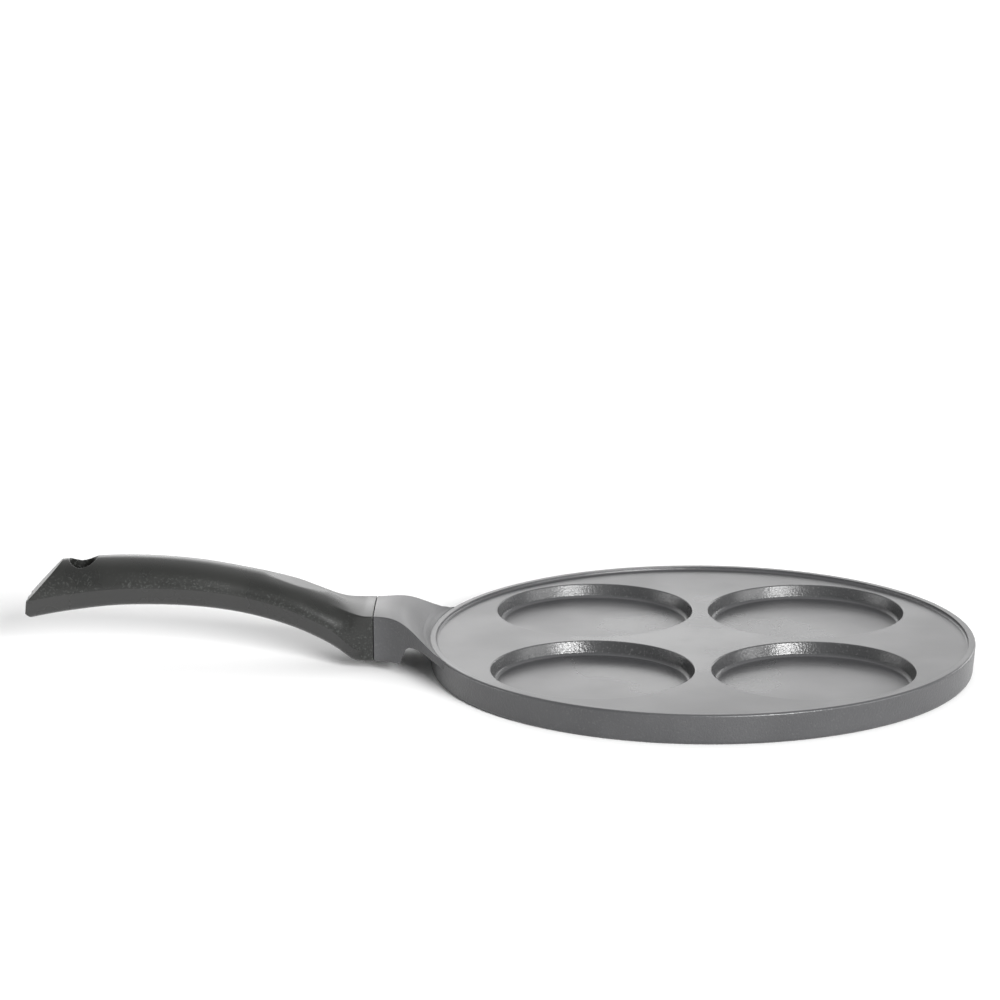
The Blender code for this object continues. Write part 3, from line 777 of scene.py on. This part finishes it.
def make_neck():
    """Neck that flares from the handle joint into the rim, arched under its root."""
    sections = []
    start = neck_half_section(0)
    middle_z = NECK_BOTTOM + NECK_HEIGHT / 2
    for i in range(CORNER_STEPS):
        t = i / CORNER_STEPS
        inset = NECK_END_ROUND * (1 - t) ** 2
        x = JOINT_X + NECK_END_ROUND * t ** 2
        half = []
        for y, z in start:
            inward = Vector((-y, middle_z - z)).normalized() * inset
            half.append((y + inward.x if y else 0, z + inward.y))
        sections.append(mirrored(half, lambda y, x=x: x))
    for share in neck_shares():
        def x_of(y, share=share):
            return mix(JOINT_X + NECK_END_ROUND, -math.sqrt(NECK_END_RADIUS ** 2 - y ** 2), share)

        half = neck_half_section(share)
        top = [(y, z - groove_depth(math.hypot(x_of(y), y))) for y, z in half[NECK_TOP_START:]]
        sections.append(mirrored(half[:NECK_TOP_START] + top, x_of))
    half_width = NECK_HALF + NECK_FLARE
    root_radius = NECK_END_RADIUS - NECK_ROOT_DEPTH
    root = block_half_section(half_width, NECK_BOTTOM + UNDER_LINE[-1][1],
                              FLOOR_Z - NECK_RIM_STEP, 0, 0, NECK_CROWN_STEPS)
    sections.append(mirrored(root, lambda y: -math.sqrt(root_radius ** 2 - y ** 2)))
    return lofted("neck_form", sections)


def disc_outline():
    """Outline of the cast disc from the recess in its base up to its floor."""
    recess_depth = PLATE_THICKNESS + FIT_GAP
    recess_radius = PLATE_RADIUS + FIT_GAP
    base_radius = RIM_RADIUS - WALL_DRAFT
    inner_top = RIM_RADIUS - RIM_WIDTH
    edge = RIM_EDGE_RADIUS
    inner_edge = RIM_INNER_EDGE_RADIUS
    outline = [(0, recess_depth), (recess_radius, recess_depth), (recess_radius, 0)]
    outline += arc(base_radius - BASE_CORNER, BASE_CORNER, BASE_CORNER, -90, 0, EDGE_STEPS)
    outline += arc(RIM_RADIUS - edge, BODY_HEIGHT - edge, edge, 0, 90, EDGE_STEPS)
    outline += corner((inner_top + edge, BODY_HEIGHT), (inner_top, BODY_HEIGHT),
                      (INNER_RADIUS + RIM_FOOT_RADIUS, FLOOR_Z + RIM_FOOT_RADIUS),
                      inner_edge, inner_edge, EDGE_STEPS)
    outline += arc(INNER_RADIUS, FLOOR_Z + RIM_FOOT_RADIUS, RIM_FOOT_RADIUS, 0, -90, EDGE_STEPS)
    outline += [(0, FLOOR_Z)]
    return outline


def well_outline():
    """Outline of a well's cutter, from its floor to above the disc."""
    floor = FLOOR_Z - WELL_DEPTH
    foot = WELL_RADIUS - WELL_DRAFT
    edge = WELL_EDGE_RADIUS
    outline = [(0, floor)]
    outline += arc(foot - WELL_FILLET, floor + WELL_FILLET, WELL_FILLET, -90, 0, FILLET_STEPS)
    outline += corner((foot, floor + WELL_FILLET), (WELL_RADIUS - edge / 3, FLOOR_Z),
                      (WELL_RADIUS + edge, FLOOR_Z), edge, edge, EDGE_STEPS)
    outline += [(WELL_RADIUS + edge, BODY_HEIGHT), (0, BODY_HEIGHT)]
    return outline


def ring_places():
    """Centres of the holes in the steel plate."""
    places = []
    for row, (radius, count) in enumerate(PLATE_HOLE_RINGS):
        for i in range(count):
            angle = 2 * math.pi * (i + row / 2) / count
            places.append((radius * math.cos(angle), radius * math.sin(angle)))
    return places


def pegs(name, outline):
    """Round pegs of one outline at every hole of the steel plate."""
    bm = bmesh.new()
    for x, y in ring_places():
        rings = []
        for radius, z in outline:
            ring = []
            for i in range(HOLE_STEPS):
                angle = 2 * math.pi * (i + 0.5) / HOLE_STEPS
                ring.append(bm.verts.new((x + radius * math.cos(angle),
                                          y + radius * math.sin(angle), z)))
            rings.append(ring)
        for low, high in zip(rings, rings[1:]):
            for i in range(HOLE_STEPS):
                j = (i + 1) % HOLE_STEPS
                bm.faces.new((low[i], low[j], high[j], high[i]))
        bm.faces.new(rings[0])
        bm.faces.new(rings[-1])
    return new_object(name, bm)


def make_pan(coating, bare):
    """Disc, wells, neck, tang and rivet studs in one casting."""
    pan = turned("coated_pan", disc_outline(), RIM_STEPS)
    combine(pan, make_neck(), "UNION")
    combine(pan, tang_bar("tang_form", HANDLE_X - TANG_LENGTH, 0), "UNION")
    for i in range(WELL_COUNT):
        angle = WELL_START_ANGLE + 2 * math.pi * i / WELL_COUNT
        centre = (WELL_ORBIT * math.cos(angle), WELL_ORBIT * math.sin(angle))
        combine(pan, turned("well_cutter", well_outline(), WELL_STEPS, centre), "DIFFERENCE")
    radius = PLATE_HOLE_RADIUS - FIT_GAP
    stud = [(radius - PLATE_EDGE, 0), (radius, PLATE_EDGE),
            (radius, PLATE_THICKNESS + 2 * FIT_GAP)]
    combine(pan, pegs("stud_form", stud), "UNION")
    thread = rod("thread_cutter", SCREW_RADIUS + FIT_GAP, screw_seat(), SCREW_TIP + 2 * FIT_GAP)
    combine(pan, thread, "DIFFERENCE")
    shade(pan, [coating, bare])
    for face in pan.data.polygons:
        if face.normal.z < FACES_DOWN and face.center.z < PLATE_EDGE:
            face.material_index = 1
    return pan


def make_plate(steel):
    """Perforated steel plate, flush with the base, with softened hole edges."""
    edge = PLATE_EDGE
    outline = [(0, 0), (PLATE_RADIUS - edge, 0), (PLATE_RADIUS, edge),
               (PLATE_RADIUS, PLATE_THICKNESS), (0, PLATE_THICKNESS)]
    plate = turned("steel_base_plate", outline, RIM_STEPS)
    hole = [(PLATE_HOLE_RADIUS + 2 * edge, -edge), (PLATE_HOLE_RADIUS, edge),
            (PLATE_HOLE_RADIUS, 2 * PLATE_THICKNESS)]
    combine(plate, pegs("plate_hole_cutter", hole), "DIFFERENCE")
    return shade(plate, [steel])


def make_handle(plastic):
    """Moulded handle with a thumb rest, a hanging hole and a socket for the tang."""
    handle = lofted("moulded_handle", handle_rings())
    combine(handle, hang_hole_cutter(), "DIFFERENCE")
    slope = (tang_middle(1) - tang_middle(0)) / TANG_LENGTH
    gap = FIT_GAP * math.sqrt(1 + slope * slope)
    socket = tang_bar("socket_cutter", HANDLE_X - TANG_LENGTH - SOCKET_END_GAP, gap)
    combine(handle, socket, "DIFFERENCE")
    combine(handle, rod("shaft_cutter", SCREW_RADIUS + FIT_GAP, 0, SCREW_TIP), "DIFFERENCE")
    pocket_radius = SCREW_HEAD_RADIUS + HEAD_CLEARANCE
    mouth = NECK_EDGE / 2
    pocket = turned("pocket_cutter",
                    [(0, -NECK_BOTTOM), (pocket_radius + mouth + NECK_BOTTOM, -NECK_BOTTOM),
                     (pocket_radius + mouth, NECK_BOTTOM), (pocket_radius, NECK_BOTTOM + mouth),
                     (pocket_radius, screw_seat()), (0, screw_seat())],
                    SCREW_STEPS, (SCREW_X, 0))
    combine(handle, pocket, "DIFFERENCE")
    return shade(handle, [plastic], HANDLE_SHARP_ANGLE)


def make_screw(steel):
    """Machine screw with a hexagon socket in its head, from below."""
    head_top = SCREW_LOW + SCREW_HEAD_HEIGHT
    edge = SCREW_EDGE
    outline = [(0, SCREW_LOW), (SCREW_HEAD_RADIUS - edge, SCREW_LOW),
               (SCREW_HEAD_RADIUS, SCREW_LOW + edge), (SCREW_HEAD_RADIUS, head_top),
               (SCREW_RADIUS, head_top), (SCREW_RADIUS, SCREW_TIP - edge),
               (SCREW_RADIUS - edge, SCREW_TIP), (0, SCREW_TIP)]
    screw = turned("handle_bolt", outline, SCREW_STEPS, (SCREW_X, 0))
    sides = SCREW_KEY_SIDES
    hexagon = arc(SCREW_X, 0, SCREW_KEY_RADIUS, 0, 360 * (sides - 1) / sides, sides - 1)
    ends = (SCREW_LOW - SCREW_KEY_DEPTH, SCREW_LOW + SCREW_KEY_DEPTH)
    key = lofted("key_cutter", [[Vector((x, y, z)) for x, y in hexagon] for z in ends])
    combine(screw, key, "DIFFERENCE")
    return shade(screw, [steel])


def make_ring(name, radius, low, high, gap_angle, steel):
    """Flat ring around the screw, open over a gap angle if it is split."""
    inner = SCREW_RADIUS + FIT_GAP
    count = SCREW_STEPS + 1 if gap_angle else SCREW_STEPS
    edge = PLATE_EDGE / 2
    sections = []
    for i in range(count):
        angle = gap_angle / 2 + (2 * math.pi - gap_angle) * i / SCREW_STEPS
        outward = Vector((math.cos(angle), math.sin(angle), 0))
        corners = ((inner, low), (radius - edge, low), (radius, low + edge),
                   (radius, high - edge), (radius - edge, high), (inner, high))
        sections.append([outward * r + Vector((SCREW_X, 0, z)) for r, z in corners])
    return shade(lofted(name, sections, closed=not gap_angle), [steel])


class Nodes:
    """Short hand for building a material's node tree."""

    def __init__(self, name):
        self.material = bpy.data.materials.new(name)
        self.material.use_nodes = True
        self.tree = self.material.node_tree
        self.shader = self.tree.nodes["Principled BSDF"]
        self.place = self.add("ShaderNodeTexCoord").outputs["Object"]

    def add(self, kind, **settings):
        """New node with the given settings."""
        node = self.tree.nodes.new(kind)
        for key, value in settings.items():
            setattr(node, key, value)
        return node

    def link(self, source, target):
        """Join an output to an input."""
        self.tree.links.new(source, target)

    def feed(self, socket, value):
        """Give an input a constant or another node's output."""
        if isinstance(value, (int, float, tuple)):
            socket.default_value = value
        else:
            self.link(value, socket)

    def noise(self, scale, detail, roughness=0.5, place=None):
        """Cloudy pattern, scale in waves per metre."""
        node = self.add("ShaderNodeTexNoise")
        node.inputs["Scale"].default_value = scale
        node.inputs["Detail"].default_value = detail
        node.inputs["Roughness"].default_value = roughness
        self.link(place or self.place, node.inputs["Vector"])
        return node.outputs["Fac"]

    def math(self, operation, a, b=0.0):
        """Sum, product or other function of one or two values."""
        node = self.add("ShaderNodeMath", operation=operation)
        self.feed(node.inputs[0], a)
        self.feed(node.inputs[1], b)
        return node.outputs[0]

    def ramp(self, value, low, high, to_low=0.0, to_high=1.0):
        """Ease from to_low to to_high while the value goes from low to high."""
        node = self.add("ShaderNodeMapRange", interpolation_type="SMOOTHSTEP")
        self.link(value, node.inputs["Value"])
        for key, number in (("From Min", low), ("From Max", high),
                            ("To Min", to_low), ("To Max", to_high)):
            node.inputs[key].default_value = number
        return node.outputs["Result"]

    def colour(self, share, a, b):
        """Mix of two colours."""
        node = self.add("ShaderNodeMix", data_type="RGBA")
        self.feed(node.inputs["Factor"], share)
        for socket, value in ((node.inputs[6], a), (node.inputs[7], b)):
            self.feed(socket, (*value, 1.0) if isinstance(value, tuple) else value)
        return node.outputs[2]

    def stretched(self, scale):
        """The object's own coordinates, scaled by axis."""
        node = self.add("ShaderNodeMapping")
        node.inputs["Scale"].default_value = scale
        self.link(self.place, node.inputs["Vector"])
        return node.outputs["Vector"]

    def bump(self, height, distance):
        """Surface direction of a relief, distance in metres."""
        node = self.add("ShaderNodeBump")
        node.inputs["Strength"].default_value = 1.0
        node.inputs["Distance"].default_value = distance
        self.link(height, node.inputs["Height"])
        return node.outputs["Normal"]

    def radius(self):
        """Distance from the pan's axis."""
        node = self.add("ShaderNodeSeparateXYZ")
        self.link(self.place, node.inputs["Vector"])
        x, y = node.outputs["X"], node.outputs["Y"]
        return self.math("SQRT", self.math("ADD", self.math("MULTIPLY", x, x),
                                           self.math("MULTIPLY", y, y)))

    def tilt(self):
        """Upward share of the surface's direction: 1 faces up, 0 is upright, -1 faces down."""
        geometry = self.add("ShaderNodeNewGeometry")
        node = self.add("ShaderNodeSeparateXYZ")
        self.link(geometry.outputs["True Normal"], node.inputs["Vector"])
        return node.outputs["Z"]

    def upright(self):
        """1 on upright walls, 0 on level faces."""
        return self.ramp(self.math("ABSOLUTE", self.tilt()), *UPRIGHT_TILT)


def coating_material():
    """Satin dark grey coating: sandy on the upright walls, smoother on level faces, with painted
    shade that darkens the walls inside the rim.
    """
    n = Nodes("satin_coating")
    walls = n.upright()
    cloudy = n.noise(COATING_CLOUDS, 3)
    streaks = n.noise(1.0, 2, place=n.stretched(STREAK_STRETCH))
    fine = n.noise(SPECKS, 2)
    tone = n.colour(n.ramp(cloudy, *CLOUD_BAND), *COATING_TONES)
    tone = n.colour(n.ramp(streaks, *STREAK_BAND, 0, STREAK_SHARE), tone, STREAK_TONE)
    # Painted shade: the upright walls of the wells and the rim's inner wall are darkened
    inside = n.math("MULTIPLY", walls, n.ramp(n.radius(), *OUTER_WALL_RADIUS))
    tone = n.colour(n.math("MULTIPLY", inside, PAINTED_WELL_SHADE_SHARE), tone, PAINTED_WELL_SHADE_TONE)
    tone = n.colour(n.math("MULTIPLY", walls, n.ramp(fine, *SPECK_BAND)), tone, SPECK_TONE)
    n.link(tone, n.shader.inputs["Base Color"])
    worn = n.ramp(n.radius(), *WORN_RADIUS, WORN_SMOOTHING, 0)
    rough = n.math("SUBTRACT", n.ramp(cloudy, *WIDE_CLOUD_BAND, *COATING_ROUGHNESS), worn)
    n.link(rough, n.shader.inputs["Roughness"])
    n.shader.inputs["Specular IOR Level"].default_value = 0.5
    sand = n.noise(SAND, 2, 0.6)
    height = n.math("MULTIPLY", sand, n.ramp(walls, 0, 1, LEVEL_SAND_SHARE, 1.0))
    n.link(n.bump(height, SAND_DEPTH), n.shader.inputs["Normal"])
    return n.material


def plastic_material():
    """Dark satin moulded plastic with fine specks, lighter on faces that tilt down, the lower
    bevel and underside, as painted bounce light from the floor.
    """
    n = Nodes("satin_plastic")
    tilt = n.tilt()
    bevel = n.ramp(tilt, *BEVEL_TILT)
    flank = n.ramp(tilt, *FLANK_TILT)
    cloudy = n.noise(PLASTIC_CLOUDS, 3)
    specks = n.noise(PLASTIC_SPECKS, 2, 0.6)
    patches = n.noise(PLASTIC_PATCHES, 2)
    side = n.colour(n.ramp(cloudy, *CLOUD_BAND), *PLASTIC_TONES)
    # Painted bounce light from the floor: a lighter tone on faces that tilt down
    bounce_lit_tone = n.colour(n.ramp(cloudy, *CLOUD_BAND), *PAINTED_BOUNCE_TONES)
    tone = n.colour(bevel, side, bounce_lit_tone)
    share = n.math("MULTIPLY", n.ramp(specks, *PLASTIC_SPECK_BAND), n.ramp(patches, *PATCH_BAND))
    share = n.math("MULTIPLY", share, n.math("SUBTRACT", flank, bevel))
    tone = n.colour(share, tone, PLASTIC_SPECK_TONE)
    n.link(tone, n.shader.inputs["Base Color"])
    n.link(n.ramp(cloudy, *WIDE_CLOUD_BAND, *PLASTIC_ROUGHNESS), n.shader.inputs["Roughness"])
    rest = n.math("MULTIPLY", n.ramp(n.radius(), *THUMB_REST_INNER),
                  n.ramp(n.radius(), *THUMB_REST_OUTER))
    polish = n.math("MULTIPLY", rest, n.ramp(tilt, *THUMB_REST_TILT))
    n.link(n.ramp(polish, 0, 1, *PLASTIC_SHINE), n.shader.inputs["Specular IOR Level"])
    n.link(n.bump(n.noise(PLASTIC_SPECKS, 2), PLASTIC_GRAIN_DEPTH), n.shader.inputs["Normal"])
    return n.material


def turned_metal(name, base, roughness, spacing, depth):
    """Bare metal with fine concentric turning lines."""
    n = Nodes(name)
    lines = n.math("SINE", n.math("MULTIPLY", n.radius(), 2 * math.pi / spacing))
    uneven = n.noise(METAL_CLOUDS, 3)
    lighter = tuple(min(1.0, value * METAL_LIGHTER) for value in base)
    n.link(n.colour(n.ramp(uneven, *CLOUD_BAND), base, lighter), n.shader.inputs["Base Color"])
    low, high = METAL_ROUGHNESS_SPREAD
    n.link(n.ramp(uneven, *WIDE_CLOUD_BAND, roughness + low, roughness + high),
           n.shader.inputs["Roughness"])
    n.shader.inputs["Metallic"].default_value = 1.0
    n.link(n.bump(lines, depth), n.shader.inputs["Normal"])
    return n.material


def plated_material():
    """Zinc plated steel of the screw and washers."""
    n = Nodes("plated_steel")
    uneven = n.noise(PLATED_CLOUDS, 3)
    n.link(n.colour(n.ramp(uneven, *CLOUD_BAND), *PLATED_TONES), n.shader.inputs["Base Color"])
    n.link(n.ramp(uneven, *WIDE_CLOUD_BAND, *PLATED_ROUGHNESS), n.shader.inputs["Roughness"])
    n.shader.inputs["Metallic"].default_value = 1.0
    n.link(n.bump(uneven, PLATED_DEPTH), n.shader.inputs["Normal"])
    return n.material


def make_floor():
    """Large plain white floor."""
    n = Nodes("white_floor")
    n.link(n.colour(n.noise(FLOOR_CLOUDS, 2), *FLOOR_TONES), n.shader.inputs["Base Color"])
    n.shader.inputs["Roughness"].default_value = FLOOR_ROUGHNESS
    n.shader.inputs["Specular IOR Level"].default_value = 0.0
    bm = bmesh.new()
    bmesh.ops.create_circle(bm, cap_ends=True, segments=FLOOR_STEPS, radius=FLOOR_RADIUS)
    floor = new_object("floor", bm)
    floor.data.materials.append(n.material)


def make_camera():
    """Camera at the photograph's view: long lens, looking slightly down."""
    place = Vector(CAMERA_PLACE)
    forward = (Vector(CAMERA_TARGET) - place).normalized()
    roll = CAMERA_ROLL
    level = forward.cross(Vector((0, 0, 1))).normalized()
    upward = level.cross(forward)
    right = level * math.cos(roll) - upward * math.sin(roll)
    up = level * math.sin(roll) + upward * math.cos(roll)
    data = bpy.data.cameras.new("camera")
    data.sensor_width = CAMERA_SENSOR
    data.lens = CAMERA_LENS
    camera = bpy.data.objects.new("camera", data)
    turn = Matrix((right, up, -forward)).transposed()
    camera.matrix_world = Matrix.Translation(place) @ turn.to_4x4()
    bpy.context.scene.collection.objects.link(camera)
    bpy.context.scene.camera = camera


def towards(azimuth, elevation):
    """Direction in the room, azimuth from behind the object towards its right."""
    across = math.cos(math.radians(elevation))
    return Vector((across * math.sin(math.radians(azimuth)),
                   across * math.cos(math.radians(azimuth)), math.sin(math.radians(elevation))))


def make_world():
    """Studio surroundings: a dim room with one softly brighter side."""
    world = bpy.data.worlds.new("studio")
    bpy.context.scene.world = world
    world.use_nodes = True
    tree = world.node_tree
    background = tree.nodes["Background"]
    where = tree.nodes.new("ShaderNodeTexCoord").outputs["Generated"]
    azimuth, elevation, narrowness, brightness = WORLD_LOBE
    dot = tree.nodes.new("ShaderNodeVectorMath")
    dot.operation = "DOT_PRODUCT"
    tree.links.new(where, dot.inputs[0])
    dot.inputs[1].default_value = towards(azimuth, elevation)
    away = tree.nodes.new("ShaderNodeMath")
    away.operation = "MULTIPLY_ADD"
    tree.links.new(dot.outputs["Value"], away.inputs[0])
    away.inputs[1].default_value = narrowness
    away.inputs[2].default_value = -narrowness
    power = tree.nodes.new("ShaderNodeMath")
    power.operation = "EXPONENT"
    tree.links.new(away.outputs[0], power.inputs[0])
    total = tree.nodes.new("ShaderNodeMath")
    total.operation = "MULTIPLY_ADD"
    tree.links.new(power.outputs[0], total.inputs[0])
    total.inputs[1].default_value = brightness
    total.inputs[2].default_value = WORLD_BASE
    tree.links.new(total.outputs[0], background.inputs["Strength"])
    background.inputs["Color"].default_value = (1, 1, 1, 1)


def make_card(name, place, width, height, energy):
    """Soft rectangular light, aimed at the pan, that shows only in reflections."""
    data = bpy.data.lights.new(name, "AREA")
    data.shape = "RECTANGLE"
    data.size = width
    data.size_y = height
    data.energy = energy
    card = bpy.data.objects.new(name, data)
    card.location = place
    card.rotation_euler = (-Vector(place)).to_track_quat("-Z", "Y").to_euler()
    card.visible_camera = False
    card.visible_diffuse = False
    bpy.context.scene.collection.objects.link(card)


def make_light():
    """Soft sun from the front right, and cards that show in the reflections."""
    azimuth, elevation, strength, width = SUN
    data = bpy.data.lights.new("key_sun", "SUN")
    data.energy = strength
    data.angle = math.radians(width)
    sun = bpy.data.objects.new("key_sun", data)
    sun.rotation_euler = towards(azimuth, elevation).to_track_quat("Z", "Y").to_euler()
    bpy.context.scene.collection.objects.link(sun)
    for card in CARDS:
        make_card(*card)


def dress():
    """Make every piece and ride it on the frame."""
    coating = coating_material()
    bare = turned_metal("turned_aluminium", *BARE_CASTING)
    steel = turned_metal("brushed_plate_steel", *BASE_STEEL)
    plastic = plastic_material()
    plated = plated_material()
    split = 2 * math.asin(LOCK_WASHER_SPLIT / (2 * LOCK_WASHER_RADIUS))
    pieces = (
        (make_pan(coating, bare), "pan_body", "coated_aluminium"),
        (make_plate(steel), "induction_plate", "plate_steel"),
        (make_handle(plastic), "handle", "handle_plastic"),
        (make_screw(plated), "handle_screw", "screw_steel"),
        (make_ring("plain_washer", WASHER_RADIUS, FLAT_WASHER_LOW, FLAT_WASHER_HIGH, 0, plated),
         "flat_washer", "screw_steel"),
        (make_ring("spring_washer", LOCK_WASHER_RADIUS, LOCK_WASHER_LOW, LOCK_WASHER_HIGH, split,
                   plated), "lock_washer", "screw_steel"),
    )
    for piece, node, slot in pieces:
        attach(piece, "root")
        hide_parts(node)


bpy.context.scene.view_settings.view_transform = "Standard"
make_camera()
make_world()
make_light()
make_floor()
dress()
